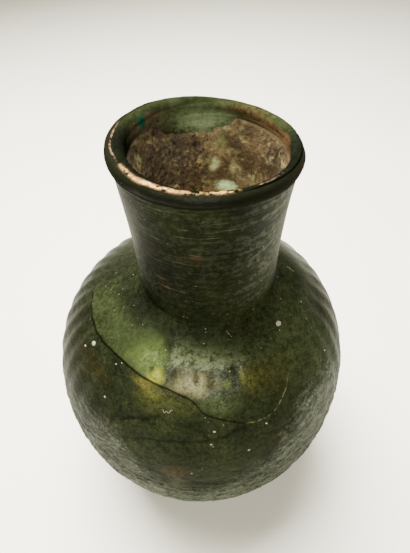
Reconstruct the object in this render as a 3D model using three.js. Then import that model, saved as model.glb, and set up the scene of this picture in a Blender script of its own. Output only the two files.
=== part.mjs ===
// A small free-blown glass bottle: round ribbed body, short wide neck, thick rounded lip.
// Millimetres, +Z up, standing on its worn foot ring, with the body's axis on the Z axis.
import * as THREE from 'three';
import { mergeVertices } from 'three/addons/utils/BufferGeometryUtils.js';

// Body: a round belly, a little fuller at the shoulder than below
const BODY_RADIUS = 45;
const BODY_CENTRE = 46;
const SHOULDER_RISE = 42.1;
const SHOULDER_FULLNESS = 2.52;
const BELLY_DROP = 50.1;
const BODY_SLANT = THREE.MathUtils.degToRad(1.2);
const SLANT_START = 6;

// Ribs left in the wall by the dip mould, softened by blowing
const RIB_COUNT = 40;
const RIB_DEPTH = 0.3;
const RIB_TWIST = THREE.MathUtils.degToRad(-14);
const RIB_LOW = 12;
const RIB_HIGH = 84;
const RIB_RISE = 48;
const RIB_RUN_OUT = 8;

// Neck: nearly straight, flaring towards the mouth, and set a little off the body's axis
const NECK_FOOT = BODY_CENTRE + SHOULDER_RISE;
const NECK_RADIUS = 17.9;
const NECK_TOP_RADIUS = 20;
const NECK_FLARE = 1.9;
const NECK_FILLET = 5.3;
const NECK_OFFSET = 2.8;
const NECK_OFFSET_RISE = 10;

// Mouth: a rounded lip that stands proud of the neck, in a slightly tipped and wavy plane
const MOUTH_HEIGHT = 128.4;
const LIP_RADIUS = 21.25;
const LIP_ROLL = 1.85;
const LIP_DROP = 3.4;
const LIP_TUCK = 0.25;
const LIP_STEP = 0.35;
const MOUTH_TIP_RIGHT = THREE.MathUtils.degToRad(-3);
const MOUTH_TIP_BACK = THREE.MathUtils.degToRad(-1.4);
const MOUTH_WAVE = 0.3;
const MOUTH_WAVE_ANGLE = THREE.MathUtils.degToRad(-51);

// Wall and base
const WALL = 2.6;
const BORE_OFFSET = 0.8;
const FOOT_RING_WIDTH = 2.6;
const PUSH_UP = 4;
const PUSH_UP_POWER = 1.5;
const FLOOR_THICKNESS = 4.2;
const FLOOR_EDGE = 8;
const FLOOR_HOLLOW = 1.4;

// Fineness of the solid
const COLUMNS = 2 * RIB_COUNT;
const OUTER_RINGS = 27;
const INNER_RINGS = 17;
const LIP_STEPS = 5;
const TURNING_WEIGHT = 14;
const CURVE_STEPS = 600;
const BASE_RINGS = [0, 0.45, 0.8];

const LIP_FOOT = MOUTH_HEIGHT - LIP_DROP;

const { clamp, smoothstep } = THREE.MathUtils;

// Radius of the belly at a height, or 0 above the shoulder's top
function bellyRadius(z) {
  const above = z - BODY_CENTRE;
  if (above < 0) {
    return BODY_RADIUS * Math.sqrt(1 - (above / BELLY_DROP) ** 2);
  }
  const rest = Math.max(1 - (above / SHOULDER_RISE) ** SHOULDER_FULLNESS, 0);
  return BODY_RADIUS * rest ** (1 / SHOULDER_FULLNESS);
}

// Radius of the neck at a height
function neckRadius(z) {
  const rise = clamp((z - NECK_FOOT) / (LIP_FOOT - NECK_FOOT), 0, 1);
  return NECK_RADIUS + (NECK_TOP_RADIUS - NECK_RADIUS) * rise ** NECK_FLARE;
}

// Belly and neck flow into each other through a soft fillet
function outerRadius(z) {
  const belly = bellyRadius(z);
  if (z < BODY_CENTRE) {
    return belly;
  }
  const neck = neckRadius(z);
  const blend = NECK_FILLET * smoothstep(z, BODY_CENTRE, NECK_FOOT);
  return (belly + neck + Math.sqrt((belly - neck) ** 2 + blend ** 2)) / 2;
}

// The outer wall from the foot ring to the underside of the lip, as a dense curve
function outerWall() {
  const points = [];
  for (let i = 0; i <= CURVE_STEPS; i += 1) {
    const z = (LIP_FOOT * i) / CURVE_STEPS;
    points.push(new THREE.Vector2(outerRadius(z), z));
  }
  return points;
}

// Moves a curve inward, square to itself, by the wall's thickness
function offsetInward(points, thickness) {
  return points.map((point, i) => {
    const before = points[Math.max(i - 1, 0)];
    const after = points[Math.min(i + 1, points.length - 1)];
    const along = after.clone().sub(before).normalize();
    return new THREE.Vector2(point.x - along.y * thickness, point.y + along.x * thickness);
  });
}

// Picks points along a dense curve, closer together where the curve turns
function spread(points, count) {
  const reach = [0];
  for (let i = 1; i < points.length; i += 1) {
    const step = points[i].clone().sub(points[i - 1]);
    const last = i > 1 ? points[i - 1].clone().sub(points[i - 2]) : step;
    const turn = Math.abs(Math.atan2(last.cross(step), last.dot(step)));
    reach.push(reach[i - 1] + step.length() + TURNING_WEIGHT * turn);
  }
  const total = reach[reach.length - 1];
  const picked = [];
  for (let k = 0; k < count; k += 1) {
    const wanted = (total * k) / (count - 1);
    const i = reach.findIndex((value) => value >= wanted - 1e-9);
    picked.push(points[i]);
  }
  return picked;
}

// How a kick in the base falls from 1 on the axis to 0 at its edge
function kick(share) {
  return Math.cos((share * Math.PI) / 2) ** PUSH_UP_POWER;
}

// The pushed-up underside, from the axis to the inner edge of the foot ring
function underside(edge) {
  return [...BASE_RINGS, 1].map((share) => new THREE.Vector2(edge * share, share < 1 ? PUSH_UP * kick(share) : 0));
}

// The floor, a shallow hollow round the kick, from the bore's last point to the axis
function floor(edge) {
  return [...BASE_RINGS].reverse().map((share) => {
    const rise = (PUSH_UP + FLOOR_THICKNESS - edge.y) * kick(share);
    return new THREE.Vector2(edge.x * share, edge.y + rise - FLOOR_HOLLOW * Math.sin(share * Math.PI));
  });
}

// The rounded lip, from the step over the neck round to the bore
function lipRoll() {
  const centre = new THREE.Vector2(LIP_RADIUS - LIP_ROLL, MOUTH_HEIGHT - LIP_ROLL);
  const points = [new THREE.Vector2(LIP_RADIUS - LIP_TUCK, LIP_FOOT + LIP_STEP)];
  for (let i = 0; i <= LIP_STEPS; i += 1) {
    const angle = (Math.PI * i) / LIP_STEPS;
    const turn = new THREE.Vector2(Math.cos(angle), Math.sin(angle)).multiplyScalar(LIP_ROLL);
    points.push(centre.clone().add(turn));
  }
  return points;
}

// The whole section through the glass, from the underside's centre to the floor's centre
function section() {
  const wall = outerWall();
  const foot = underside(wall[0].x - FOOT_RING_WIDTH);
  const outer = [...foot, ...spread(wall, OUTER_RINGS), ...lipRoll()];
  const bore = offsetInward(wall, WALL)
    .filter((point) => point.y > FLOOR_EDGE && point.y < LIP_FOOT - 1)
    .reverse();
  const inner = [...spread(bore, INNER_RINGS), ...floor(bore[bore.length - 1])];
  return { outer, inner };
}

// How far a height lies up the neck, from 0 at the shoulder to 1 at the mouth
function neckShare(z) {
  return clamp((z - NECK_FOOT) / (MOUTH_HEIGHT - NECK_FOOT), 0, 1);
}

// Turns, ribs, slants and shifts one point of the true round form into the blown one
function blow(point, onOuterWall) {
  const { z } = point;
  const radius = Math.hypot(point.x, point.y);
  const angle = Math.atan2(point.y, point.x);
  const twist = RIB_TWIST * (1 - smoothstep(z, RIB_LOW, RIB_HIGH));
  const spot = new THREE.Vector3(radius * Math.cos(angle + twist), radius * Math.sin(angle + twist), z);
  if (onOuterWall) {
    const fade = smoothstep(z, RIB_LOW, RIB_LOW + RIB_RISE) * (1 - smoothstep(z, RIB_HIGH - RIB_RUN_OUT, RIB_HIGH));
    const groove = 0.5 - 0.5 * Math.cos(RIB_COUNT * angle);
    const centre = new THREE.Vector3(0, 0, BODY_CENTRE);
    spot.add(centre.sub(spot).setLength(RIB_DEPTH * groove * fade));
  }
  const upNeck = neckShare(z);
  const slant = Math.tan(BODY_SLANT) * smoothstep(z, SLANT_START, BODY_CENTRE) * (1 - upNeck);
  const wave = MOUTH_WAVE * upNeck * Math.cos(2 * (angle - MOUTH_WAVE_ANGLE));
  spot.z += spot.x * (slant + Math.tan(MOUTH_TIP_RIGHT) * upNeck);
  spot.z += spot.y * Math.tan(MOUTH_TIP_BACK) * upNeck + wave;
  spot.x += NECK_OFFSET * smoothstep(z, NECK_FOOT - NECK_OFFSET_RISE, NECK_FOOT);
  if (!onOuterWall) {
    spot.x += BORE_OFFSET * upNeck;
  }
  return spot;
}

// The vessel as one closed skin: outer wall, lip, bore and floor
function vesselGeometry() {
  const { outer, inner } = section();
  const outline = [...outer, ...inner];
  const geometry = new THREE.LatheGeometry(outline, COLUMNS);
  geometry.rotateX(Math.PI / 2);
  geometry.deleteAttribute('normal');
  geometry.deleteAttribute('uv');
  const places = geometry.attributes.position;
  const point = new THREE.Vector3();
  for (let i = 0; i < places.count; i += 1) {
    point.fromBufferAttribute(places, i);
    const blown = blow(point, i % outline.length < outer.length);
    places.setXYZ(i, blown.x, blown.y, blown.z);
  }
  const skin = mergeVertices(geometry, 1e-4);
  const corners = Array.from(skin.index.array);
  const kept = [];
  for (let i = 0; i < corners.length; i += 3) {
    const [a, b, c] = corners.slice(i, i + 3);
    if (a !== b && b !== c && c !== a) {
      kept.push(a, b, c);
    }
  }
  skin.setIndex(kept);
  skin.computeVertexNormals();
  return skin;
}

const weatheredGlass = new THREE.MeshStandardMaterial({ color: 0x46512a, roughness: 0.3, metalness: 0 });

const bottle = new THREE.Mesh(vesselGeometry(), weatheredGlass);
bottle.name = 'bottle';

const object = new THREE.Group();
object.add(bottle);

export default object;
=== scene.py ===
"""Dresses a small ancient blown glass bottle for a studio picture.

The vessel is turned from one section by a node tree that also ribs, dents and slants it. The soil
left in its neck and the grains that cling to it are pieces of their own.
"""

import math

import bmesh
import bpy
import numpy as np
from bpy.props import FloatProperty, FloatVectorProperty, IntProperty, PointerProperty
from mathutils import Matrix, Vector


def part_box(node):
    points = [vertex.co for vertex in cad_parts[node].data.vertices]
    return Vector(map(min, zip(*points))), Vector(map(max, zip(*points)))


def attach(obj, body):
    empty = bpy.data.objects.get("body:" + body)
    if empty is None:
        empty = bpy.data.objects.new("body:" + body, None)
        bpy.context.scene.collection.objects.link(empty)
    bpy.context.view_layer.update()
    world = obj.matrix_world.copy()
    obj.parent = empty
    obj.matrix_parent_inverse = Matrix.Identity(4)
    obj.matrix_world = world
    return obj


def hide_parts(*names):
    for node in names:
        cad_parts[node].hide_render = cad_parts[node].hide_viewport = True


bl_info = {
    "name": "Blown Glass Bottle",
    "version": (1, 0, 0),
    "blender": (4, 5, 0),
    "location": "View3D > Sidebar > Bottle",
    "description": "Builds a weathered blown glass bottle and a plain studio for it",
    "category": "Add Mesh",
}

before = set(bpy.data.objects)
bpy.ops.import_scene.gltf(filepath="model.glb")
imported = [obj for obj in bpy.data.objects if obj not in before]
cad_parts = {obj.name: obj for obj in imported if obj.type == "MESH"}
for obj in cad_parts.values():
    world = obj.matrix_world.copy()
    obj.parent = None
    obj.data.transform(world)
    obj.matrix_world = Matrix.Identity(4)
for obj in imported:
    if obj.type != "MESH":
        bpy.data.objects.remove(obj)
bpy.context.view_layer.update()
NODE = "bottle"
BODY = "root"
LOW, HIGH = (Vector(corner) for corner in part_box(NODE))

MM = 0.001

# The flat faces of the solid cut its box this far short of the round belly
BOX_SHORTFALL = 0.06 * MM

# Driving sizes of the vessel, in metres
BODY_RADIUS = (HIGH.x - LOW.x) / 2 + BOX_SHORTFALL
BODY_CENTRE = LOW.z + 46 * MM
SHOULDER_RISE = 42.1 * MM
BELLY_DROP = 50.1 * MM
NECK_FOOT = BODY_CENTRE + SHOULDER_RISE
NECK_OFFSET = 2.8 * MM
MOUTH_HEIGHT = LOW.z + 128.4 * MM
LIP_RADIUS = 21.25 * MM
LIP_ROLL = 1.85 * MM
LIP_FOOT = LOW.z + 125 * MM
BORE_END = LIP_FOOT - 1 * MM
WALL = 2.6 * MM
FOOT_RING_WIDTH = 2.6 * MM
PUSH_UP = 4 * MM
PUSH_UP_POWER = 1.5
FLOOR_EDGE = 8 * MM
FLOOR_HEIGHT = 8.2 * MM
FLOOR_HOLLOW = 1.4 * MM

# How crookedly it was blown
BODY_SLANT = math.radians(1.2)
SLANT_START = 6 * MM
NECK_OFFSET_RISE = 10 * MM
BORE_OFFSET = 0.8 * MM
MOUTH_TIP_RIGHT = math.radians(-3)
MOUTH_TIP_BACK = math.radians(-1.4)
MOUTH_WAVE = 0.3 * MM
MOUTH_WAVE_ANGLE = math.radians(51)

# The crack round the shoulder: azimuth from the front in degrees, height in millimetres
CRACK_PATH = (
    (-96, 80.6), (-63, 80.2), (-43, 80.6), (-25, 80.1), (-11, 79.4), (-3, 78.2), (2, 75.9),
    (7, 74.8), (16, 72.8), (22, 72.1), (28, 72.8), (34, 75.0), (38, 77.0),
)

# The azimuth from which the crack is bright, and not dark
CRACK_BRIGHT_FROM = 14

# Folds in the glass under the crack, and the upper edge of the low weathering band with its painted reflection of
# the floor, laid out in the same way
FOLDS = (
    ((-34, 69.5), (-30, 70.9), (-22.4, 72.7), (-15.6, 74.3)),
    ((-30, 64.5), (-26, 66.2), (-20, 68.0), (-13, 68.7), (-6.5, 69.3), (1.6, 69.5), (9.5, 70.7), (16.3, 71.5)),
    ((21, 68.4), (26, 67.2), (31, 66.9), (38.8, 67.8)),
)
FILM_AND_SHEEN_EDGE = (
    (-120, 50), (-75, 62), (-58, 66), (-35, 66), (-24, 60), (-15, 54), (-5, 49), (3, 50),
    (10, 53.6), (20, 57), (33, 65), (45, 71), (60, 70), (75, 62), (120, 50),
)

# Heights between which all these paths lie
PATH_LOW = 40
PATH_HIGH = 90

# Dimples in the shoulder's front: azimuth, height, half width in degrees, half height in millimetres
DIMPLES = (
    (-23.6, 81.4, 1.6, 0.6), (-11.7, 81.4, 2.6, 1.1), (-1.6, 81.6, 1.8, 1.7),
    (5.2, 81, 3, 1.6), (16.8, 82.3, 3, 1.2),
)


# Property groups


def length_property(name, description, default, precision=4):
    """A length, set in the sidebar."""
    return FloatProperty(name=name, description=description, default=default, unit="LENGTH", precision=precision)


def colour_property(name, description, default):
    """A colour, set in the sidebar."""
    return FloatVectorProperty(name=name, description=description, default=default, subtype="COLOR", min=0, max=1)


class VesselForm(bpy.types.PropertyGroup):
    """Sizes of the blown vessel."""

    body_radius: length_property("Body Radius", "Half the belly's width", BODY_RADIUS)
    shoulder_fullness: FloatProperty(
        name="Shoulder Fullness", description="2 is round, more is squarer", default=2.52, min=1.5, max=4
    )
    neck_radius: length_property("Neck Radius", "Radius of the neck's foot", 17.9 * MM)
    neck_top_radius: length_property("Neck Top Radius", "Radius under the lip", 20 * MM)
    neck_flare: FloatProperty(
        name="Neck Flare", description="How late the neck widens towards the mouth", default=1.9, min=1, max=4
    )
    neck_fillet: length_property("Neck Fillet", "Softness of the bend between neck and shoulder", 5.3 * MM)
    neck_offset: length_property("Neck Offset", "How far the neck stands off the body's axis", NECK_OFFSET)
    wall: length_property("Wall", "Thickness of the glass", WALL)
    rib_count: IntProperty(name="Ribs", description="Number of low ribs round the body", default=40, min=0)
    rib_depth: length_property("Rib Depth", "Depth of the grooves between the ribs", 0.2 * MM, precision=5)
    rib_twist: FloatProperty(
        name="Rib Twist", description="Turn of the ribs from shoulder to foot", default=math.radians(-14),
        subtype="ANGLE",
    )
    columns: IntProperty(name="Columns", description="Faces round the vessel", default=320, min=16)


class GlassFinish(bpy.types.PropertyGroup):
    """Colours of the weathered glass, with a painted glow on the shoulder and a weathering layer that is partly
    painted sheen.
    """

    deep: colour_property("Deep Glass", "Colour of the darkest glass", (0.0078, 0.01, 0.0044))
    olive: colour_property("Olive Glass", "Colour of the lighter glass", (0.0172, 0.0222, 0.0082))
    # Painted glow of light through the glass on the shoulder
    moss: colour_property("Moss Glow", "Colour of the lit shoulder", (0.024, 0.032, 0.011))
    # Silvery weathering layer, partly real and partly painted sheen of the floor at the flanks and round the foot
    film: colour_property("Grey Film", "Colour of the silvery weathering film", (0.108, 0.123, 0.088))
    worn: colour_property("Worn Crest", "Colour of the lip's worn crest", (0.62, 0.41, 0.12))
    scuff: colour_property("Scuff", "Colour of the thin scuffed line round the lip", (0.17, 0.1, 0.055))


class StudioSettings(bpy.types.PropertyGroup):
    """Floor and light of the studio."""

    floor: colour_property("Floor", "Colour of the floor", (0.8, 0.775, 0.64))
    key_power: FloatProperty(
        name="Key Power", description="Power of the large light above and behind", default=13.5, unit="POWER"
    )
    fill_power: FloatProperty(
        name="Fill Power", description="Power of the small light above and in front", default=1.2, unit="POWER"
    )
    sky: FloatProperty(name="Sky", description="Strength of the light from all round", default=0.35, min=0)


# Node trees written as formulas


def calculation(operation):
    """A method that puts wires through a math node."""
    return lambda wire, *others: wire.graph.math(operation, wire, *others)


class Wire:
    """An output socket that can take part in sums, so that a tree reads like a formula."""

    def __init__(self, graph, socket):
        self.graph = graph
        self.socket = socket

    def __rsub__(self, other):
        return self.graph.math("SUBTRACT", other, self)

    __add__ = __radd__ = calculation("ADD")
    __mul__ = __rmul__ = calculation("MULTIPLY")
    __sub__ = calculation("SUBTRACT")
    __truediv__ = calculation("DIVIDE")
    __pow__ = calculation("POWER")
    __abs__ = calculation("ABSOLUTE")


class Graph:
    """Adds nodes to a tree. A wire given as an input is linked, any other value is set on the socket."""

    def __init__(self, tree):
        self.tree = tree

    def node(self, kind, inputs=None, **settings):
        node = self.tree.nodes.new(kind)
        for name, value in settings.items():
            setattr(node, name, value)
        self.feed(node, inputs or {})
        return node

    def feed(self, node, inputs):
        for key, value in inputs.items():
            if isinstance(value, Wire):
                self.tree.links.new(value.socket, node.inputs[key])
            else:
                node.inputs[key].default_value = value

    def add(self, kind, inputs=None, output=0, **settings):
        return Wire(self, self.node(kind, inputs, **settings).outputs[output])

    def math(self, operation, *values, clamp=False):
        inputs = dict(enumerate(values))
        return self.add("ShaderNodeMath", inputs, operation=operation, use_clamp=clamp)

    def length(self, vector):
        return self.add("ShaderNodeVectorMath", {0: vector}, 1, operation="LENGTH")

    def split(self, vector):
        node = self.node("ShaderNodeSeparateXYZ", {0: vector})
        return [Wire(self, socket) for socket in node.outputs]

    def join(self, x, y, z):
        return self.add("ShaderNodeCombineXYZ", {0: x, 1: y, 2: z})

    def scale(self, vector, factor):
        return self.add("ShaderNodeVectorMath", {0: vector, "Scale": factor}, operation="SCALE")

    def smooth(self, value, low, high):
        """0 below low and 1 above high, or the other way round where low is the larger."""
        inputs = {0: value, 1: low, 2: high}
        return self.add("ShaderNodeMapRange", inputs, interpolation_type="SMOOTHSTEP")

    def noise(self, place, scale, detail, roughness, seed):
        inputs = {"Vector": place, "W": seed, "Scale": scale, "Detail": detail, "Roughness": roughness}
        return self.add("ShaderNodeTexNoise", inputs, noise_dimensions="4D")

    def curve(self, value, points):
        """A smooth curve through points, all from 0 to 1."""
        node = self.node("ShaderNodeFloatCurve", {"Value": value})
        line = node.mapping.curves[0]
        while len(line.points) < len(points):
            line.points.new(0.5, 0.5)
        for knot, place in zip(line.points, points):
            knot.location = place
        node.mapping.update()
        return Wire(self, node.outputs[0])

    def azimuth(self, x, y):
        """Degrees round the vessel from its front, positive towards +X."""
        return self.math("ARCTAN2", x, y * -1.0) * math.degrees(1)

    def traced(self, azimuth, path, low, high):
        """Height of a path drawn round the vessel, given as azimuths and heights."""
        first, last = path[0][0], path[-1][0]
        points = [((turn - first) / (last - first), (height - low) / (high - low)) for turn, height in path]
        return self.curve((azimuth - first) / (last - first), points) * (high - low) + low

    def crack_height(self, azimuth):
        return self.traced(azimuth, CRACK_PATH, PATH_LOW, PATH_HIGH)

    def crack_reach(self, azimuth):
        """1 along the crack and 0 beyond its ends."""
        return self.between(azimuth, CRACK_PATH[0][0] + 4, CRACK_PATH[-1][0] - 2, 4)

    def rib_grooves(self, place, azimuth, height, count, twist):
        """1 along the middle of each groove between the ribs and 0 along each rib."""
        wander = (self.noise(place, 0.045, 1, 0.5, 4) - 0.5) * self.smooth(height, 80, 66) * 9
        phase = (azimuth - twist * self.smooth(height, 84, 12) + wander) * count * math.radians(1)
        return 0.5 - 0.5 * self.math("COSINE", phase)

    def dimples(self, place, azimuth, height):
        """1 in the middle of each dimple, falling unevenly to 0 at its edge."""
        uneven = (self.noise(place, 0.7, 3, 0.6, 15) - 0.5) * 1.8
        deepest = 0
        for turn, level, half_width, half_height in DIMPLES:
            across = (azimuth - turn) / half_width
            upward = (height - level) / half_height
            reach = self.math("SQRT", across * across + upward * upward) + uneven
            deepest = self.math("MAXIMUM", self.smooth(reach, 1.2, 0.2), deepest)
        return deepest

    def folds(self, place, azimuth, height):
        """1 along the folds under the crack, broken up along their length."""
        wander = (self.noise(place, 0.3, 3, 0.6, 16) - 0.5) * 2.4
        deepest = 0
        for path in FOLDS:
            gap = abs(height - self.traced(azimuth, path, PATH_LOW, PATH_HIGH) + wander)
            line = self.smooth(gap, 0.9, 0) * self.between(azimuth, path[0][0] + 2, path[-1][0] - 2, 4)
            deepest = self.math("MAXIMUM", line, deepest)
        return deepest

    def creased(self, place, height):
        """1 along sharp creases that run round the foot of the body like crumpled foil, falling to 0."""
        x, y, _ = self.split(place)
        flat = self.join(x, y, height * 2.2)
        long = abs(self.noise(flat, 0.11, 4, 0.65, 12) - 0.5)
        short = abs(self.noise(flat, 0.3, 3, 0.6, 13) - 0.5)
        return self.smooth(long, 0.09, 0) * 0.6 + self.smooth(short, 0.11, 0) * 0.4

    def between(self, value, low, high, soft):
        """1 from low to high, falling to 0 over soft on either side."""
        return self.smooth(value, low - soft, low) * self.smooth(value, high + soft, high)


class ShaderGraph(Graph):
    """A material's tree, with colour mixing and places in millimetres."""

    def __init__(self, name):
        self.material = bpy.data.materials.new(name)
        self.material.use_nodes = True
        super().__init__(self.material.node_tree)
        self.shader = self.tree.nodes["Principled BSDF"]
        coordinates = Wire(self, self.tree.nodes.new("ShaderNodeTexCoord").outputs["Object"])
        self.place = self.scale(coordinates, 1 / MM)
        self.x, self.y, self.z = self.split(self.place)
        self.around = self.azimuth(self.x, self.y)

    def mix(self, factor, low, high, blend="MIX"):
        inputs = {0: factor}
        for key, colour in ((6, low), (7, high)):
            inputs[key] = colour if isinstance(colour, Wire) else (*colour[:3], 1)
        return self.add("ShaderNodeMix", inputs, 2, data_type="RGBA", blend_type=blend)

    def darken(self, colour, factor):
        """A colour times a number, which may also be over 1."""
        grey = self.add("ShaderNodeCombineColor", {0: factor, 1: factor, 2: factor})
        return self.mix(1, colour, grey, "MULTIPLY")

    def bump(self, height, distance, strength):
        return self.add("ShaderNodeBump", {"Height": height, "Distance": distance * MM, "Strength": strength})

    def patch(self, azimuth, height, half_width, half_height, ragged):
        """A soft-edged patch on the vessel's side, its edge broken up by a noise."""
        across = self.math("WRAP", self.around - azimuth, 180, -180) / half_width
        upward = (self.z - height) / half_height
        reach = self.math("SQRT", across * across + upward * upward) + (ragged - 0.5) * 1.6
        return self.smooth(reach, 1.15, 0.35)

    def stained(self, colour, stains_and_light, ragged):
        """A colour with a table of patches laid over it in turn; the glass's tables hold painted highlights and
        glows besides real discolouring.
        """
        for *spot, strength, patch_colour in stains_and_light:
            colour = self.mix(self.patch(*spot, ragged) * strength, colour, patch_colour)
        return colour

    def dots(self, scale, radius, share, seed):
        """Round dots, one at most in each cell of a scattered pattern."""
        inputs = {"Vector": self.place, "W": seed, "Scale": scale}
        cells = self.node("ShaderNodeTexVoronoi", inputs, voronoi_dimensions="4D")
        chance = self.split(Wire(self, cells.outputs["Color"]))[0]
        near = self.smooth(Wire(self, cells.outputs["Distance"]), radius, radius * 0.6)
        return near * self.math("LESS_THAN", chance, share)

    def finish(self, **inputs):
        self.feed(self.shader, {name.replace("_", " "): value for name, value in inputs.items()})
        return self.material


class GeometryGraph(Graph):
    """A geometry tree."""

    def random(self, low, high, seed):
        inputs = {2: low, 3: high, "ID": self.add("GeometryNodeInputIndex"), "Seed": seed}
        return self.add("FunctionNodeRandomValue", inputs, 1, data_type="FLOAT")

    def store(self, name, geometry, value, data_type, domain):
        inputs = {"Geometry": geometry, "Name": name, "Value": value}
        return self.add("GeometryNodeStoreNamedAttribute", inputs, data_type=data_type, domain=domain)


def geometry_graph(name, values):
    """A new geometry tree with an input for a mesh and one for each named value, given back as wires."""
    tree = bpy.data.node_groups.new(name, "GeometryNodeTree")
    tree.interface.new_socket(name="Geometry", in_out="INPUT", socket_type="NodeSocketGeometry")
    for label, value in values.items():
        kind = type(value).__name__.capitalize()
        tree.interface.new_socket(name=label, in_out="INPUT", socket_type="NodeSocket" + kind)
    tree.interface.new_socket(name="Geometry", in_out="OUTPUT", socket_type="NodeSocketGeometry")
    graph = GeometryGraph(tree)
    group_input = tree.nodes.new("NodeGroupInput")
    return graph, {socket.name: Wire(graph, socket) for socket in group_input.outputs if socket.name}


def end_tree(graph, geometry, material):
    """Ends a geometry tree in plain faces with a material."""
    whole = graph.add("GeometryNodeRealizeInstances", {0: geometry})
    dressed = graph.add("GeometryNodeSetMaterial", {"Geometry": whole, "Material": material})
    output = graph.tree.nodes.new("NodeGroupOutput")
    graph.tree.links.new(dressed.socket, output.inputs[0])
    return graph.tree


def run_tree(name, mesh, tree, values):
    """Runs a geometry tree on a mesh and returns the result as a plain mesh object."""
    carrier = bpy.data.objects.new(name + "_carrier", mesh)
    bpy.context.collection.objects.link(carrier)
    modifier = carrier.modifiers.new(tree.name, "NODES")
    modifier.node_group = tree
    for item in tree.interface.items_tree:
        if item.in_out == "INPUT" and item.name in values:
            modifier[item.identifier] = values[item.name]
    bpy.context.view_layer.update()
    seen = carrier.evaluated_get(bpy.context.evaluated_depsgraph_get())
    result = bpy.data.meshes.new_from_object(seen)
    result.name = name
    bpy.data.objects.remove(carrier)
    bpy.data.meshes.remove(mesh)
    piece = bpy.data.objects.new(name, result)
    bpy.context.collection.objects.link(piece)
    return piece


def hand_over(piece, *nodes):
    """Tells the frame what a finished piece rides on, and hides the parts it stands for."""
    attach(piece, BODY)
    if nodes:
        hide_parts(*nodes)


# The section through the glass

# The skins that a section runs along
OUTSIDE = 0.0
INSIDE = 1.0
BURIED = 2.0

# The step under the lip: radii and heights in millimetres
LIP_STEP = ((20.45, 125.05), (20.85, 125.2), (21.1, 125.55), (21.22, 126.0))

# How strongly a curve's turns draw points, as a length for each radian
TURNING = 6 * MM
LIP_TURNING = 2 * MM

# Points of the dense curves, rings picked from them, and the crust's columns
WALL_POINTS = 4001
LIP_POINTS = 400
UNDERSIDE_RINGS = 8
WALL_RINGS = 208
LIP_RINGS = 26
LIP_OUTER_RINGS = 15
BORE_RINGS = 48
FLOOR_RINGS = 7
CRUST_FACE_RINGS = 190
CRUST_BACK_RINGS = 40
CRUST_COLUMNS = 240

# The crust: the heights between which it lines the bore, and its face and back off the inner wall
CRUST_FOOT = 62 * MM
CRUST_TOP = 124.5 * MM
CRUST_LIFT = 0.3 * MM
CRUST_ROOT = 1.4 * MM

# How deep the soil dives into the glass at its ragged edge
CRUST_DIVE = 1.6 * MM


def outer_radius(form, z):
    """Radius of the outer wall at heights z: belly and neck, flowing into each other."""
    above = z - BODY_CENTRE
    low = np.sqrt(np.clip(1 - (above / BELLY_DROP) ** 2, 0, 1))
    share = np.clip(above / SHOULDER_RISE, 0, 1)
    high = (1 - share**form.shoulder_fullness) ** (1 / form.shoulder_fullness)
    belly = form.body_radius * np.where(above < 0, low, high)
    rise = np.clip((z - NECK_FOOT) / (LIP_FOOT - NECK_FOOT), 0, 1)
    neck = form.neck_radius + (form.neck_top_radius - form.neck_radius) * rise**form.neck_flare
    blend = form.neck_fillet * share * share * (3 - 2 * share)
    joined = (belly + neck + np.sqrt((belly - neck) ** 2 + blend**2)) / 2
    return np.where(above < 0, belly, joined)


def outer_wall(form):
    """Dense curve of the outer wall from the foot ring to the underside of the lip."""
    z = np.linspace(0, LIP_FOOT, WALL_POINTS)
    return np.column_stack([outer_radius(form, z), z])


def offset_inward(points, thickness):
    """Moves a curve that runs up the wall inward, square to itself."""
    along = np.gradient(points, axis=0)
    along /= np.linalg.norm(along, axis=1)[:, None]
    return points + thickness * np.column_stack([-along[:, 1], along[:, 0]])


def spread(points, count, turning=TURNING):
    """Places points along a dense curve, closer together where it turns."""
    steps = np.diff(points, axis=0)
    lengths = np.linalg.norm(steps, axis=1)
    headings = np.unwrap(np.arctan2(steps[:, 1], steps[:, 0]))
    turns = np.abs(np.diff(headings, prepend=headings[0]))
    reach = np.concatenate([[0], np.cumsum(lengths + turning * turns)])
    wanted = np.linspace(0, reach[-1], count)
    return np.column_stack([np.interp(wanted, reach, points[:, k]) for k in (0, 1)])


def dome(edge, rise, hollow, count):
    """The kicked-up underside or floor, from the axis to an edge point."""
    share = np.linspace(0, 1, count)
    kick = rise * np.cos(share * math.pi / 2) ** PUSH_UP_POWER
    return np.column_stack([edge[0] * share, edge[1] + kick - hollow * np.sin(share * math.pi)])


def lip_curve():
    """The lip from its step over the neck, up its side and over its crest to the bore."""
    centre = (LIP_RADIUS - LIP_ROLL, MOUTH_HEIGHT - LIP_ROLL)
    turn = np.radians(np.linspace(0, 180, LIP_POINTS))
    roll = np.column_stack([centre[0] + LIP_ROLL * np.cos(turn), centre[1] + LIP_ROLL * np.sin(turn)])
    return np.concatenate([np.array(LIP_STEP) * MM, roll])


def bore_wall(form):
    """Dense curve of the inner wall from the floor's edge up to the lip."""
    inner = offset_inward(outer_wall(form), form.wall)
    return inner[(inner[:, 1] > FLOOR_EDGE) & (inner[:, 1] < BORE_END)]


def joined_section(stretches):
    """Curves joined end to end: their points, and on which skin each point lies."""
    points = np.concatenate([curve for curve, _ in stretches])
    skins = np.concatenate([np.full(len(curve), skin) for curve, skin in stretches])
    return points, skins


def vessel_section(form):
    """From the underside's centre, over the lip, to the floor's centre."""
    wall = outer_wall(form)
    foot = (wall[0, 0] - FOOT_RING_WIDTH, 0.0)
    lip = spread(lip_curve(), LIP_RINGS, LIP_TURNING)
    bore = bore_wall(form)
    base = dome(bore[0], FLOOR_HEIGHT - bore[0, 1], FLOOR_HOLLOW, FLOOR_RINGS)
    return joined_section([
        (dome(foot, PUSH_UP, 0, UNDERSIDE_RINGS), OUTSIDE),
        (spread(wall, WALL_RINGS), OUTSIDE),
        (lip[:LIP_OUTER_RINGS], OUTSIDE),
        (lip[LIP_OUTER_RINGS:], INSIDE),
        (spread(bore[::-1], BORE_RINGS), INSIDE),
        (base[-2::-1], INSIDE),
    ])


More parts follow.
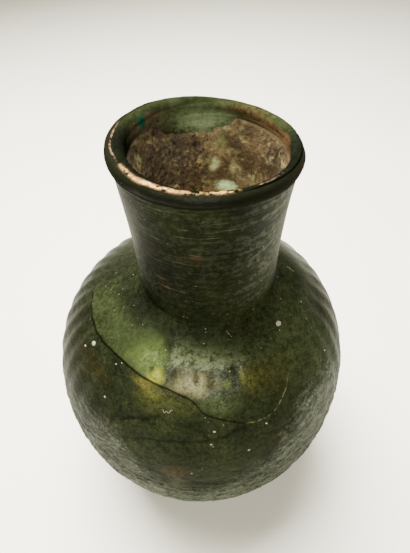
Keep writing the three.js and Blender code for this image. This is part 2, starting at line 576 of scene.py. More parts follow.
def crust_section(form):
    """The soil's skin over the bore, and its back buried in the glass, as a closed loop."""
    wall = outer_wall(form)
    lined = wall[(wall[:, 1] > CRUST_FOOT) & (wall[:, 1] < CRUST_TOP)]
    face = spread(offset_inward(lined, form.wall + CRUST_LIFT)[::-1], CRUST_FACE_RINGS)
    back = spread(offset_inward(lined, form.wall - CRUST_ROOT), CRUST_BACK_RINGS)
    return joined_section([(face, INSIDE), (back, BURIED), (face[:1], INSIDE)])


def section_mesh(name, points, skins):
    """A section as loose vertices, each marked with the skin it lies on."""
    mesh = bpy.data.meshes.new(name)
    mesh.from_pydata([(r, 0, z) for r, z in points], [], [])
    mark = mesh.attributes.new("skin", "FLOAT", "POINT")
    mark.data.foreach_set("value", skins)
    return mesh


# The trees that turn a section into blown glass and into soil


def millimetres(graph):
    """The geometry's own place as x, y and z in millimetres, and joined."""
    place = graph.scale(graph.add("GeometryNodeInputPosition"), 1 / MM)
    return place, *graph.split(place)


def skin_mark(graph):
    return graph.add("GeometryNodeInputNamedAttribute", {"Name": "skin"}, data_type="FLOAT")


def turned(graph, section, columns):
    """The section turned about the vertical axis, its seam and poles closed."""
    size = graph.node("GeometryNodeAttributeDomainSize", {0: section}, component="MESH")
    rings = Wire(graph, size.outputs["Point Count"])
    grid = graph.node("GeometryNodeMeshGrid", {"Vertices X": columns + 1, "Vertices Y": rings})
    index = graph.add("GeometryNodeInputIndex")
    column = graph.math("FLOOR", (index + 0.5) / rings)
    row = index - column * rings

    def sampled(value, data_type):
        inputs = {"Geometry": section, "Value": value, "Index": row}
        return graph.add("GeometryNodeSampleIndex", inputs, data_type=data_type, domain="POINT")

    spot = sampled(graph.add("GeometryNodeInputPosition"), "FLOAT_VECTOR")
    skin = sampled(skin_mark(graph), "FLOAT")
    radius, _, height = graph.split(spot)
    angle = (column / columns - 0.5) * math.tau
    target = graph.join(radius * graph.math("SINE", angle), radius * graph.math("COSINE", angle) * -1.0, height)
    marked = graph.store("skin", Wire(graph, grid.outputs["Mesh"]), skin, "FLOAT", "POINT")
    mapped = graph.store("UVMap", marked, Wire(graph, grid.outputs["UV Map"]), "FLOAT2", "CORNER")
    formed = graph.add("GeometryNodeSetPosition", {"Geometry": mapped, "Position": target})
    return graph.add("GeometryNodeMergeByDistance", {"Geometry": formed, "Distance": 0.01 * MM})


def slanted(graph, geometry, neck_offset):
    """Sets body and neck as crookedly as they were blown."""
    x, y, z = graph.split(graph.add("GeometryNodeInputPosition"))
    up_neck = graph.math("DIVIDE", z - NECK_FOOT, MOUTH_HEIGHT - NECK_FOOT, clamp=True)
    slant = graph.smooth(z, SLANT_START, BODY_CENTRE) * (1.0 - up_neck) * math.tan(BODY_SLANT)
    wave = graph.math("COSINE", (graph.math("ARCTAN2", y, x) + MOUTH_WAVE_ANGLE) * 2.0) * MOUTH_WAVE
    tip = x * math.tan(MOUTH_TIP_RIGHT) + y * math.tan(MOUTH_TIP_BACK)
    bore_offset = graph.math("MINIMUM", skin_mark(graph), 1.0) * up_neck * BORE_OFFSET
    shift = neck_offset * graph.smooth(z, NECK_FOOT - NECK_OFFSET_RISE, NECK_FOOT) + bore_offset
    target = graph.join(x + shift, y, z + x * slant + (tip + wave) * up_neck)
    return graph.add("GeometryNodeSetPosition", {"Geometry": geometry, "Position": target})


def raised(graph, geometry, height):
    """Moves each point along its normal."""
    offset = graph.scale(graph.add("GeometryNodeInputNormal"), height)
    lifted = graph.add("GeometryNodeSetPosition", {"Geometry": geometry, "Offset": offset})
    return graph.add("GeometryNodeSetShadeSmooth", {"Geometry": lifted})


# How deep the glass is marked, how thick the soil lies, and the seeds of their noises
VESSEL_RELIEF = {
    "Dimple Depth": 0.3 * MM,
    "Fold Depth": 0.25 * MM,
    "Dent Depth": 0.5 * MM,
    "Wrinkle Depth": 0.4 * MM,
    "Crinkle Depth": 0.5 * MM,
    "Tooling Depth": 0.18 * MM,
    "Crack Step": 0.2 * MM,
    "Seed": 4.0,
}
CRUST_RELIEF = {"Lump Height": 1.8 * MM, "Grain Height": 1.1 * MM, "Seed": 31.0}


def glass_relief(graph, given):
    """Height of the glass over the slanted form: ribs, dents, wrinkles, tool marks and the crack."""
    place, x, y, z = millimetres(graph)
    around = graph.azimuth(x, y)
    outside = graph.math("SUBTRACT", 1, skin_mark(graph), clamp=True)
    seed = given["Seed"]

    twist = given["Rib Twist"] * math.degrees(1)
    groove = graph.rib_grooves(place, around, z, given["Rib Count"], twist)
    run = graph.smooth(z, 12, 60) * graph.smooth(z, 84, 76)
    worn = graph.noise(place, 0.03, 1, 0.5, seed + 3) + graph.smooth(abs(around), 30, 80)
    ribs = groove * run * worn * given["Rib Depth"]
    hollows = graph.dimples(place, around, z) * given["Dimple Depth"]
    hollows += graph.folds(place, around, z) * given["Fold Depth"]

    dents = (graph.noise(place, 0.05, 2, 0.45, seed + 5) - 0.5) * given["Dent Depth"]
    flat = graph.join(x, y, z * 3.2)
    wrinkles = (graph.noise(flat, 0.16, 3, 0.55, seed + 7) - 0.5) * given["Wrinkle Depth"]
    wrinkles *= graph.between(z, 62, 74, 8)
    crinkles = graph.creased(place, z) * graph.smooth(z, 68, 46) * given["Crinkle Depth"]
    lines = graph.join(x * 0.08, y * 0.08, z)
    tooling = (graph.noise(lines, 0.55, 3, 0.6, seed + 9) - 0.5) * given["Tooling Depth"]
    tooling *= graph.smooth(z, 88, 94) * graph.smooth(z, 125.4, 124.4)
    uneven = graph.noise(place, 0.16, 2, 0.5, seed + 11) + 0.5 * graph.noise(place, 0.6, 3, 0.6, seed + 12)
    lip = (uneven - 0.75) * graph.smooth(z, 124, 126)

    gap = z - graph.crack_height(around)
    step = graph.smooth(gap, -0.5, 0.4) * graph.smooth(gap, 8, 1) * graph.crack_reach(around)
    outer = wrinkles + crinkles + tooling + step * given["Crack Step"] - ribs - hollows
    return (outer * outside + dents + lip * given["Dent Depth"]) * graph.smooth(z, 0.5, 9)


# The soil's ragged upper edge: azimuth in degrees, height in millimetres
CRUST_EDGE = (
    (-180, 120.2), (-165, 120.6), (-150, 123.6), (-130, 125.2), (-100, 125.2), (-40, 123),
    (30, 122.5), (80, 124), (105, 126), (140, 124.4), (158, 121.2), (180, 120.2),
)
CRUST_EDGE_LOW = 118
CRUST_EDGE_HIGH = 128


def crust_relief(graph, given):
    """Height of the soil: lumps and grains that thin out and dive into the glass at a ragged edge."""
    place, x, y, z = millimetres(graph)
    around = graph.azimuth(x, y)
    face = graph.math("COMPARE", skin_mark(graph), INSIDE, 0.1)
    seed = given["Seed"]
    lumps = graph.noise(place, 0.14, 3, 0.55, seed) * given["Lump Height"]
    grains = graph.noise(place, 0.75, 3, 0.7, seed + 2) * given["Grain Height"]
    grains *= 1 - 0.6 * graph.between(around, 75, 150, 20)
    ragged = (graph.noise(place, 0.35, 4, 0.65, seed + 4) - 0.5) * 5
    edge = graph.traced(around, CRUST_EDGE, CRUST_EDGE_LOW, CRUST_EDGE_HIGH)
    depth = edge - z - ragged
    thick = 0.25 + 0.75 * graph.smooth(depth, 0, 9)
    return ((lumps + grains) * thick - graph.smooth(depth, 0.5, -0.5) * CRUST_DIVE) * face


def blown_tree(name, values, relief):
    """Turns a section, slants it as the vessel was blown, raises its relief and dresses it."""
    graph, given = geometry_graph(name, values)
    form = turned(graph, given["Geometry"], given["Columns"])
    crooked = slanted(graph, form, given["Neck Offset"])
    rough = raised(graph, crooked, relief(graph, given))
    return end_tree(graph, rough, given["Material"])


# Weathered glass

# Stains, painted highlights and painted glows: azimuth, height, half width in degrees, half height in
# millimetres, strength, colour
OUTER_STAINS_AND_HIGHLIGHTS = (
    (-75, 70, 36, 16, 0.7, (0.009, 0.01, 0.0042)),
    (-112, 83, 30, 7, 0.7, (0.011, 0.013, 0.0064)),
    # Painted glow of light through the shoulder, and painted highlights in yellow, pink and gold round its front,
    # down to the crack's bay
    (-36, 83.2, 20, 2.4, 0.7, (0.025, 0.034, 0.01)),
    (-14, 77.6, 18, 3.6, 0.5, (0.03, 0.033, 0.009)),
    (-27, 82.2, 13, 2.6, 0.7, (0.054, 0.074, 0.018)),
    (-20.6, 81, 5, 1.4, 0.7, (0.15, 0.155, 0.022)),
    (-26, 79.4, 8, 0.9, 0.5, (0.07, 0.06, 0.012)),
    (-19, 78.2, 6, 1, 0.5, (0.06, 0.06, 0.013)),
    (-2, 80.9, 13, 2.1, 0.9, (0.12, 0.113, 0.05)),
    (12.2, 80.4, 2, 0.9, 0.5, (0.06, 0.085, 0.016)),
    (22.5, 80.2, 4, 2.2, 0.4, (0.056, 0.056, 0.01)),
    (19.4, 81.2, 1.5, 1.5, 0.6, (0.095, 0.105, 0.018)),
    (27, 80.6, 9, 2.6, 0.4, (0.032, 0.03, 0.006)),
    (8, 77.4, 9, 2.6, 0.8, (0.031, 0.039, 0.016)),
    # Stains from here on
    (34, 79, 18, 4, 0.5, (0.018, 0.018, 0.005)),
    (-52, 76, 16, 2.4, 0.5, (0.017, 0.014, 0.004)),
    (-10, 57.5, 5, 4, 0.6, (0.052, 0.035, 0.017)),
    (-9, 50.5, 4, 4.5, 0.7, (0.052, 0.062, 0.03)),
    (44, 58, 14, 12, 0.4, (0.03, 0.032, 0.022)),
    (1, 112, 6, 0.7, 0.7, (0.07, 0.028, 0.01)),
    (2, 110.2, 2.4, 1.8, 0.6, (0.044, 0.021, 0.009)),
    (-9, 111.4, 5, 0.4, 0.5, (0.044, 0.022, 0.01)),
    (-24, 99.2, 8, 0.5, 0.8, (0.09, 0.056, 0.026)),
    (-29, 102, 7, 0.4, 0.6, (0.07, 0.044, 0.022)),
)
INNER_STAINS_AND_GLOW = (
    # Painted glow of green light through the mouth's back wall
    (-160, 125.4, 28, 2.8, 0.8, (0.072, 0.096, 0.04)),
    (173, 123.6, 28, 3.4, 0.9, (0.115, 0.155, 0.072)),
    (174, 122.4, 21, 2.6, 0.9, (0.2, 0.255, 0.135)),
    # Brown and tan marks
    (112, 125, 34, 1.5, 0.9, (0.06, 0.034, 0.015)),
    (-136, 124.4, 32, 2.4, 0.85, (0.05, 0.038, 0.023)),
    (140, 126, 22, 1.4, 0.6, (0.046, 0.029, 0.012)),
    (-134, 127, 32, 1.7, 0.75, (0.085, 0.072, 0.042)),
    (-146, 127, 10, 0.8, 0.9, (0.1, 0.064, 0.036)),
    # Painted glow: an emerald spot of light through the glass
    (-130, 127.2, 6, 2, 1, (0.003, 0.07, 0.034)),
)

# Colours of the glass that aren't settings
BROWN_GLASS = (0.019, 0.016, 0.006)
# Painted reflection of the ceiling, a slate-grey sheen on the shoulder
SLATE_REFLECTION = (0.066, 0.076, 0.036)
DUST = (0.13, 0.12, 0.09)
DARK_CRACK = (0.001, 0.0012, 0.0004)
BRIGHT_CRACK = (0.09, 0.09, 0.03)
# The lip's glass, painted darker on its left and lighter on its right as painted shade and light
SHADED_LIP_LEFT = (0.0038, 0.0044, 0.0024)
LIT_LIP_RIGHT = (0.0085, 0.008, 0.0048)
CREST = (0.0045, 0.0052, 0.0024)
CREST_BROWN = (0.11, 0.055, 0.022)
CREST_RUST = (0.24, 0.12, 0.05)
MOUTH_FRONT = (0.004, 0.005, 0.0024)
# Painted glow of light through the mouth's back wall
GLOWING_MOUTH_BACK = (0.018, 0.023, 0.007)
MOUTH_BROWN = (0.022, 0.018, 0.007)

# Radius of the lip's crest in millimetres
CREST_RADIUS = 19.45


def weathered_glass(finish):
    """Dark olive glass with a silvery weathering layer, stains, a crack and a worn lip, in millimetres and
    degrees, with painted highlights, glows, reflections and shade.
    """
    g = ShaderGraph("weathered_glass")
    place, x, y, z, around = g.place, g.x, g.y, g.z, g.around
    inner = g.math("MINIMUM", g.add("ShaderNodeAttribute", output=2, attribute_name="skin"), 1)
    from_axis = g.length(g.join(x - NECK_OFFSET / MM, y, 0))
    broad = g.noise(place, 0.045, 3, 0.55, 1)
    middle = g.noise(place, 0.16, 4, 0.6, 2)
    fine = g.noise(place, 0.9, 4, 0.65, 3)
    grain = g.noise(place, 2.4, 3, 0.7, 4)
    ragged = (middle * 0.5 + fine * 0.3 + grain * 0.2 - 0.5) * 2.2 + 0.5
    colour = g.mix(g.smooth(broad + (middle - 0.5) * 0.5, 0.32, 0.68), finish.deep, finish.olive)
    colour = g.mix(g.smooth(middle, 0.5, 0.75) * 0.5, colour, BROWN_GLASS)

    gap = z - g.crack_height(around)
    reach = g.crack_reach(around)
    above = g.smooth(gap, -0.1, 0.3) * reach
    # Painted glow of light through the glass on the shoulder above the crack, away from the neck's foot
    moss = above * g.smooth(from_axis, 22.5, 27.5) * g.between(around, -82, -36, 20) * (0.3 + 0.9 * middle)
    moss = g.math("MINIMUM", moss, 1)
    colour = g.mix(moss, colour, finish.moss)
    colour = g.stained(colour, OUTER_STAINS_AND_HIGHLIGHTS, ragged)

    # Painted reflection of the ceiling on the shoulder above the highlights, in slate grey
    slate_reflection = g.smooth(around + (middle - 0.5) * 8, -18, -14) * g.smooth(around + (ragged - 0.5) * 16, 32, 4)
    slate_reflection *= g.smooth(z + (ragged - 0.5), 82.1, 83.2) * g.smooth(z + (ragged - 0.5) * 3, 86.2, 83.4)
    colour = g.mix(slate_reflection * (0.15 + 0.85 * g.smooth(ragged, 0.3, 0.62)), colour, SLATE_REFLECTION)

    lip_foot = 124.4 + 1.6 * g.between(around, -36, 30, 25)
    neck = g.smooth(z, 90, 96) * g.smooth(z - lip_foot, 0.6, -0.4)
    streaks = g.noise(g.join(x * 0.12, y * 0.12, z), 0.8, 4, 0.65, 5)
    turned_away = abs(around + 6)
    # Painted sheen on the flanks, where the glass turns away, over the real streaked weathering
    film_and_sheen_flanks = g.smooth(turned_away, 25, 65) * g.smooth(turned_away, 150, 80)
    film_and_sheen_flanks *= 1 - 0.6 * g.smooth(around, 50, 80)
    streaked = g.smooth(streaks + (fine - 0.5) * 1.2, 0.46, 0.66)
    film = neck * (0.1 * streaked + film_and_sheen_flanks * (0.2 + 0.42 * streaked))
    scratches = g.noise(g.join(x * 0.05, y * 0.05, z), 2.2, 3, 0.6, 8)
    film = g.math("MAXIMUM", film, neck * g.smooth(scratches, 0.58, 0.66) * g.smooth(middle, 0.4, 0.55) * 0.42)
    creases = g.creased(place, z)
    film_and_sheen_edge = g.traced(around, FILM_AND_SHEEN_EDGE, PATH_LOW, PATH_HIGH)
    # The low band round the foot: partly real weathering, partly painted reflection of the floor
    low = g.smooth(film_and_sheen_edge - z + (ragged - 0.5) * 14, -2, 8) * (0.16 + 1.1 * creases**1.5)
    low *= 1 + g.between(around, 24, 50, 14) * (0.45 + 0.75 * g.smooth(z, 66, 54))
    low *= 1 + g.smooth(z, 54, 45) * (0.3 + 0.5 * g.between(around, -48, -14, 10))
    low *= g.smooth(z, 10, 30) * g.smooth(turned_away, 120, 60) * (0.55 + 0.45 * g.smooth(broad, 0.4, 0.6))
    colour = g.mix(g.math("MINIMUM", g.math("MAXIMUM", film, low), 1), colour, finish.film)
    mottle = 0.4 + 0.75 * g.smooth(fine, 0.34, 0.66) + 0.8 * g.smooth(grain, 0.38, 0.72)
    mottle += (1.1 - mottle) * 0.45 * g.math("MAXIMUM", moss, neck)
    # Painted shade in the bend round the neck's foot; the neck is darker and its weathering lighter
    foot = 1 - 0.1 * g.between(z, 87, 94, 4) - 0.4 * neck + 0.3 * film
    # Painted shade on the left and right flanks and lower down, and a painted reflection of the floor lighting
    # the bottom front
    shaded = (1 - 0.4 * g.between(around, -150, -50, 25)) * (1 - 0.4 * g.smooth(around, 55, 85))
    shaded *= 1 - 0.35 * g.smooth(z, 68, 48) + 0.35 * g.smooth(z, 50, 43) * g.between(around, -45, 6, 15)
    dimples = g.dimples(place, around, z)
    folds = g.folds(place, around, z)
    # Painted shade darkens the dimples and folds
    colour = g.darken(colour, mottle * foot * shaded * (1 - 0.6 * dimples) * (1 - 0.4 * folds))
    dust = g.dots(1.1, 0.26, 0.14, 6) * (0.35 + 0.65 * g.between(z, 88, 96, 8))
    colour = g.mix(dust * 0.7, colour, DUST)

    line = g.smooth(abs(gap), 0.3, 0.1) * reach
    dark = line * g.smooth(around, CRACK_BRIGHT_FROM + 5, CRACK_BRIGHT_FROM)
    bright = line * g.smooth(around, CRACK_BRIGHT_FROM, CRACK_BRIGHT_FROM + 5)
    colour = g.mix(dark * 0.8, colour, DARK_CRACK)
    colour = g.mix(bright * g.smooth(fine, 0.42, 0.6), colour, BRIGHT_CRACK)

    lip = g.smooth(z - lip_foot, -0.2, 0.8)
    # Painted shade on the lip's left and painted light on its right
    lip_lit_and_shaded = g.mix(g.smooth(around, 0, 60), SHADED_LIP_LEFT, LIT_LIP_RIGHT)
    colour = g.mix(lip * 0.95, colour, lip_lit_and_shaded)
    # The lining is painted lighter towards the back, as a glow of light through the glass
    back = g.smooth(abs(around), 90, 130)
    lining = g.mix(back, MOUTH_FRONT, GLOWING_MOUTH_BACK)
    lining = g.mix(g.smooth(middle, 0.45, 0.7) * 0.6 * back, lining, MOUTH_BROWN)
    lining = g.stained(lining, INNER_STAINS_AND_GLOW, ragged)
    top = g.smooth(z, 127, 127.6)
    colour = g.mix(top * 0.85, colour, CREST)
    colour = g.mix(inner, colour, g.darken(lining, mottle * (1 - 0.55 * top)))
    narrow = abs(from_axis - CREST_RADIUS - (middle - 0.5) * 1.4)
    wear = g.math("MAXIMUM", g.patch(-26, 128.6, 28, 4, middle), 0.45 * g.patch(16, 128.6, 9, 4, ragged))
    wear *= g.smooth(fine + 0.5 * middle, 0.64, 0.76)
    colour = g.mix(g.smooth(narrow, 0.85, 0.5) * top * wear * 0.8, colour, CREST_BROWN)
    crest = g.mix(g.smooth(fine, 0.42, 0.58), CREST_RUST, finish.worn)
    colour = g.mix(g.smooth(narrow + (grain - 0.5) * 1.2, 0.5, 0.2) * top * wear, colour, crest)
    scuffed = g.smooth(narrow, 0.26, 0.1) * top * g.between(around, -100, 45, 15) * g.smooth(middle, 0.42, 0.52)
    colour = g.mix(scuffed * g.smooth(fine, 0.42, 0.56) * 0.6, colour, finish.scuff)

    shine = g.between(around, -24, 18, 10) * g.between(z, 79.4, 82.4, 1.8) * (1 - inner)
    shine *= 0.6 * g.smooth(grain, 0.36, 0.66) * (1 - 0.8 * dimples)
    shine += 0.1 * g.between(around, -32, 10, 12) * g.between(z, 127.2, 128.4, 0.4) * (1 - inner)
    shine *= 1 - 0.7 * g.patch(-21, 81.2, 6, 1.8, middle)
    shine += 0.25 * g.smooth(turned_away, 95, 140) * (1 - inner) * (1 - lip)
    specks = g.noise(place, 1.6, 3, 0.7, 7)
    height = middle * 0.25 + fine * 0.3 + specks * 0.25 + streaks * neck * 0.8 + creases * low * 1.2
    normal = g.bump(height, 0.5, 0.9)
    return g.finish(
        Base_Color=colour,
        Roughness=0.32 + 0.16 * middle + 0.2 * film + 0.35 * lip,
        Normal=normal,
        Specular_IOR_Level=0.012,
        Specular_Tint=(0.9, 1, 0.62, 1),
        Coat_Weight=shine,
        Coat_Roughness=0.3,
        Coat_Normal=normal,
    )


# Patches on the soil, in the same columns as the tables of the glass
SOIL_STAINS = (
    (112, 117, 38, 9, 0.8, (0.042, 0.029, 0.013)),
    (94, 117, 26, 8, 0.8, (0.026, 0.018, 0.009)),
    (112, 125.4, 44, 3.4, 1, (0.072, 0.048, 0.022)),
    (-140, 113, 54, 12, 0.85, (0.044, 0.035, 0.023)),
    (-120, 121, 14, 6, 0.4, (0.028, 0.02, 0.012)),
    (130, 108.5, 20, 5, 0.6, (0.04, 0.03, 0.014)),
    (176, 109, 13, 5, 0.6, (0.036, 0.026, 0.013)),
    (161, 112, 5, 2.2, 0.9, (0.3, 0.32, 0.15)),
    (157, 118, 6, 3.2, 0.7, (0.13, 0.13, 0.05)),
    (148, 106, 13, 1.9, 0.9, (0.25, 0.34, 0.16)),
    (144, 112, 4, 2.4, 0.6, (0.21, 0.2, 0.09)),
    (101, 120.5, 14, 4, 0.6, (0.014, 0.01, 0.005)),
)
SOIL = (0.046, 0.033, 0.018)
PALE_SOIL = (0.12, 0.088, 0.04)
GREEN_SOIL = (0.13, 0.122, 0.05)


def neck_soil():
    """Dry brown earth with pale green patches of decayed glass."""
    g = ShaderGraph("neck_soil")
    broad = g.noise(g.place, 0.12, 4, 0.6, 21)
    middle = g.noise(g.place, 0.35, 4, 0.6, 23)
    grain = g.noise(g.place, 1.1, 5, 0.7, 22)
    ragged = (middle * 0.5 + grain * 0.5 - 0.5) * 2.6 + 0.5
    colour = g.mix(g.smooth(broad, 0.42, 0.6), SOIL, PALE_SOIL)
    colour = g.mix(g.smooth(middle, 0.52, 0.66) * 0.7, colour, GREEN_SOIL)
    colour = g.stained(colour, SOIL_STAINS, ragged)
    crumbs = 0.3 + 0.7 * g.smooth(grain, 0.36, 0.5)
    crumbs += 1.3 * g.smooth(grain, 0.52, 0.7) * g.smooth(g.z, 124.5, 120)
    crumbs += (1 - crumbs) * 0.6 * g.between(g.around, 75, 150, 20)
    shade = (1.35 + 1.3 * g.smooth(g.z, 118, 102)) * (1 - 0.65 * g.smooth(g.z, 122, 124.5))
    colour = g.darken(colour, crumbs * shade)
    return g.finish(Base_Color=colour, Roughness=0.9, Normal=g.bump(grain, 1, 0.8), Specular_IOR_Level=0.05)

GREY_GRIT = (0.1, 0.095, 0.06)
CHALK = (0.3, 0.28, 0.2)


def pale_grit():
    """Chalky white bits that cling to the glass."""
    g = ShaderGraph("pale_grit")
    grain = g.noise(g.place, 3, 3, 0.7, 41)
    colour = g.mix(g.smooth(grain, 0.35, 0.65), GREY_GRIT, CHALK)
    return g.finish(Base_Color=colour, Roughness=0.85, Specular_IOR_Level=0.05)


# Grit and fibres on the glass

GRIT = {"Grains per Square Metre": 30000.0, "Grain Radius": 0.22 * MM, "Seed": 5}


def grit_tree(values):
    """Scatters flattened grains over the outside of the vessel, thickest round the neck's foot."""
    graph, given = geometry_graph("Clinging Grit", values)
    z = millimetres(graph)[-1]
    thickness = 0.25 + 0.75 * graph.between(z, 84, 98, 6)
    outside = graph.math("LESS_THAN", skin_mark(graph), 0.01) * graph.smooth(z, 20, 40)
    density = given["Grains per Square Metre"] * thickness * outside
    inputs = {"Mesh": given["Geometry"], "Density": density, "Seed": given["Seed"]}
    points = graph.node("GeometryNodeDistributePointsOnFaces", inputs)
    grain = graph.add("GeometryNodeMeshIcoSphere", {"Radius": given["Grain Radius"], "Subdivisions": 1})
    size = graph.random(0.35, 1.0, 7) ** 2.0
    flat = graph.join(size, size * graph.random(0.6, 1.0, 8), size * 0.5)
    inputs = {name: Wire(graph, points.outputs[name]) for name in ("Points", "Rotation")}
    scattered = graph.add("GeometryNodeInstanceOnPoints", {"Instance": grain, "Scale": flat, **inputs})
    return end_tree(graph, scattered, given["Material"])


# Larger bits: azimuth in degrees, height and size in millimetres, and how they are flattened
CRUMBS = (
    (-59, 78.7, 0.75), (-62, 77, 0.35), (51, 84.9, 0.85), (-40, 72.7, 0.35), (4.7, 72, 0.35),
    (3.3, 68.6, 0.35), (16.2, 64.6, 0.35), (-3.7, 58.1, 0.3), (62, 74, 0.3), (24, 70.5, 0.3),
)
CRUMB_SHAPE = (1, 0.8, 0.4)

# Fine dry fibres: azimuths and heights of their bends
FIBRES = (
    ((-14.8, 76), (-14, 75.2), (-13.2, 75.9), (-12.4, 75.3), (-11.4, 76.3), (-10.7, 76.1)),
    ((19.4, 86.8), (20.2, 86.4), (21.2, 86)),
    ((96, 85.6), (94.5, 85.2), (93.2, 84.7)),
)


# A distance from the axis that lies well outside the vessel
BEYOND_GLASS = 200 * MM


def on_glass(vessel, azimuth, height):
    """The place and normal where a level ray from outside meets the vessel."""
    angle = math.radians(azimuth)
    outward = Vector((math.sin(angle), -math.cos(angle), 0))
    start = outward * BEYOND_GLASS + Vector((0, 0, height * MM))
    hit, place, normal, _ = vessel.ray_cast(start, -outward)
    if not hit:
        raise RuntimeError(f"no glass at {azimuth}, {height}")
    return place, normal


def bits_mesh(vessel):
    """Crumbs and fibres as one mesh lying on the glass."""
    bm = bmesh.new()
    for azimuth, height, size in CRUMBS:
        place, normal = on_glass(vessel, azimuth, height)
        turn = normal.to_track_quat("Z", "Y").to_matrix().to_4x4()
        flat = Matrix.Diagonal((*(size * share * MM for share in CRUMB_SHAPE), 1))
        shape = Matrix.Translation(place) @ turn @ flat
        bmesh.ops.create_icosphere(bm, subdivisions=2, radius=1, matrix=shape)
    for bends in FIBRES:
        add_fibre(bm, [on_glass(vessel, azimuth, height) for azimuth, height in bends])
    mesh = bpy.data.meshes.new("clinging_bits")
    bm.to_mesh(mesh)
    bm.free()
    return mesh


FIBRE_RADIUS = 0.05 * MM
FIBRE_SIDES = 6
FIBRE_STEPS = 5


def add_fibre(bm, bends):
    """A thin closed tube through places on the glass, half sunk into its weathered surface."""
    places = []
    for (start, _), (end, _) in zip(bends, bends[1:]):
        places += [start.lerp(end, step / FIBRE_STEPS) for step in range(FIBRE_STEPS)]
    places.append(bends[-1][0])
    for _ in range(3):
        inner = [(a + 2 * b + c) / 4 for a, b, c in zip(places, places[1:], places[2:])]
        places = [places[0], *inner, places[-1]]
    rings = []
    for i, place in enumerate(places):
        along = places[min(i + 1, len(places) - 1)] - places[max(i - 1, 0)]
        turn = along.to_track_quat("Z", "Y")
        ring = []
        for side in range(FIBRE_SIDES):
            angle = math.tau * side / FIBRE_SIDES
            offset = turn @ Vector((math.cos(angle), math.sin(angle), 0)) * FIBRE_RADIUS
            ring.append(bm.verts.new(place + offset))
        rings.append(ring)
    for low, high in zip(rings, rings[1:]):
        for side in range(FIBRE_SIDES):
            after = (side + 1) % FIBRE_SIDES
            bm.faces.new((low[side], low[after], high[after], high[side]))
    bm.faces.new(reversed(rings[0]))
    bm.faces.new(rings[-1])


# Operators


class BOTTLE_OT_vessel(bpy.types.Operator):
    """Turn, rib and weather the glass vessel"""

    bl_idname = "bottle.vessel"
    bl_label = "Glass Vessel"

    def execute(self, context):
        form = context.scene.bottle_form
        values = {
            "Columns": form.columns,
            "Neck Offset": form.neck_offset,
            "Rib Count": float(form.rib_count),
            "Rib Depth": form.rib_depth,
            "Rib Twist": form.rib_twist,
            "Material": weathered_glass(context.scene.bottle_glass),
            **VESSEL_RELIEF,
        }
        section = section_mesh("vessel_section", *vessel_section(form))
        vessel = run_tree("glass_vessel", section, blown_tree("Blown Vessel", values, glass_relief), values)
        hand_over(vessel, NODE)
        return {"FINISHED"}


class BOTTLE_OT_soil(bpy.types.Operator):
    """Line the neck with its crust of soil"""

    bl_idname = "bottle.soil"
    bl_label = "Neck Soil"

    def execute(self, context):
        form = context.scene.bottle_form
        values = {
            "Columns": CRUST_COLUMNS,
            "Neck Offset": form.neck_offset,
            "Material": neck_soil(),
            **CRUST_RELIEF,
        }
        section = section_mesh("crust_section", *crust_section(form))
        soil = run_tree("neck_soil", section, blown_tree("Neck Crust", values, crust_relief), values)
        hand_over(soil)
        return {"FINISHED"}


class BOTTLE_OT_grit(bpy.types.Operator):
    """Scatter pale grit over the glass and lay the larger crumbs and fibres on it"""

    bl_idname = "bottle.grit"
    bl_label = "Grit and Fibres"

    def execute(self, context):
        vessel = bpy.data.objects["glass_vessel"]
        material = pale_grit()
        values = {"Material": material, **GRIT}
        grit = run_tree("clinging_grit", vessel.data.copy(), grit_tree(values), values)
        hand_over(grit)
        bits_data = bits_mesh(vessel)
        bits_data.materials.append(material)
        bits = bpy.data.objects.new("clinging_bits", bits_data)
        context.collection.objects.link(bits)
        hand_over(bits)
        return {"FINISHED"}


# The studio in metres: half the floor's width, and the place, width and length of each light
FLOOR_HALF = 3
LIGHTS = (("key", (-0.09, 0.18, 0.55), 0.42, 0.42), ("ceiling", (0, -0.38, 0.52), 0.24, 0.26))
LIGHT_SPREAD = math.radians(120)
LIGHT_COLOUR = (1.0, 0.985, 0.96)
SKY_COLOUR = (1.0, 0.86, 0.64, 1)


class BOTTLE_OT_studio(bpy.types.Operator):
    """Set up the floor, the soft lights and the camera"""

    bl_idname = "bottle.studio"
    bl_label = "Studio"

    def execute(self, context):
        settings = context.scene.bottle_studio
        floor_mesh = bpy.data.meshes.new("floor")
        corners = [(x * FLOOR_HALF, y * FLOOR_HALF, 0) for x, y in ((-1, -1), (1, -1), (1, 1), (-1, 1))]
        floor_mesh.from_pydata(corners, [], [(0, 1, 2, 3)])
        floor = bpy.data.objects.new("floor", floor_mesh)
        context.collection.objects.link(floor)
        paint = ShaderGraph("floor_paint")
        floor_mesh.materials.append(paint.finish(Base_Color=(*settings.floor, 1), Roughness=0.75))

        aim = Vector((0, 0, BODY_CENTRE))
        for (name, place, width, length), power in zip(LIGHTS, (settings.key_power, settings.fill_power)):
            light = bpy.data.lights.new(name, "AREA")
            light.shape = "RECTANGLE"
            light.size = width
            light.size_y = length
            light.energy = power
            light.color = LIGHT_COLOUR
            light.spread = LIGHT_SPREAD
            lamp = bpy.data.objects.new(name, light)
            lamp.location = place
            lamp.rotation_euler = (aim - lamp.location).to_track_quat("-Z", "Y").to_euler()
            context.collection.objects.link(lamp)

        world = bpy.data.worlds.new("soft_sky")
        world.use_nodes = True
        background = world.node_tree.nodes["Background"]
        background.inputs["Color"].default_value = SKY_COLOUR
        background.inputs["Strength"].default_value = settings.sky
        context.scene.world = world

        place_camera(context)
        return {"FINISHED"}


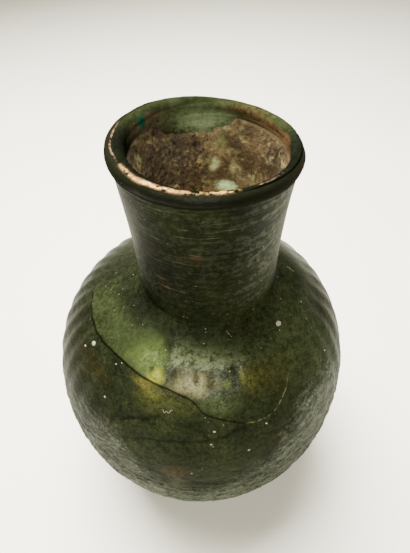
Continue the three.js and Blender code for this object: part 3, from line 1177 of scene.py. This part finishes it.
# The photograph's camera: its focal length and the picture's height in pixels, its place, and its tilt
FOCAL_PIXELS = 450
IMAGE_HEIGHT = 553
CAMERA_PLACE = (2.05 * MM, -84.9 * MM, 178.8 * MM)
CAMERA_PITCH = math.radians(47.75)
CAMERA_ROLL = math.radians(-1.67)


def place_camera(context):
    """Looks down at the bottle as the photograph does."""
    lens = bpy.data.cameras.new("camera")
    lens.sensor_width = 36
    lens.lens = FOCAL_PIXELS / IMAGE_HEIGHT * lens.sensor_width
    lens.clip_start = 0.005
    camera = bpy.data.objects.new("camera", lens)
    turn = Matrix.Rotation(math.pi / 2 - CAMERA_PITCH, 4, "X") @ Matrix.Rotation(CAMERA_ROLL, 4, "Z")
    camera.matrix_world = Matrix.Translation(CAMERA_PLACE) @ turn
    context.collection.objects.link(camera)
    context.scene.camera = camera


class BOTTLE_PT_panel(bpy.types.Panel):
    """Lists the bottle's pieces and settings"""

    bl_idname = "BOTTLE_PT_panel"
    bl_label = "Glass Bottle"
    bl_space_type = "VIEW_3D"
    bl_region_type = "UI"
    bl_category = "Bottle"

    def draw(self, context):
        layout = self.layout
        for settings in (context.scene.bottle_form, context.scene.bottle_glass, context.scene.bottle_studio):
            box = layout.box()
            for name in settings.bl_rna.properties.keys():
                if name not in {"rna_type", "name"}:
                    box.prop(settings, name)
        for operator in OPERATORS:
            layout.operator(operator.bl_idname)


OPERATORS = (BOTTLE_OT_vessel, BOTTLE_OT_soil, BOTTLE_OT_grit, BOTTLE_OT_studio)
CLASSES = (VesselForm, GlassFinish, StudioSettings, *OPERATORS, BOTTLE_PT_panel)


def register():
    for item in CLASSES:
        bpy.utils.register_class(item)
    bpy.types.Scene.bottle_form = PointerProperty(type=VesselForm)
    bpy.types.Scene.bottle_glass = PointerProperty(type=GlassFinish)
    bpy.types.Scene.bottle_studio = PointerProperty(type=StudioSettings)


def unregister():
    del bpy.types.Scene.bottle_form
    del bpy.types.Scene.bottle_glass
    del bpy.types.Scene.bottle_studio
    for item in reversed(CLASSES):
        bpy.utils.unregister_class(item)


def main():
    register()
    bpy.ops.bottle.vessel()
    bpy.ops.bottle.soil()
    bpy.ops.bottle.grit()
    bpy.ops.bottle.studio()


if __name__ == "__main__":
    main()
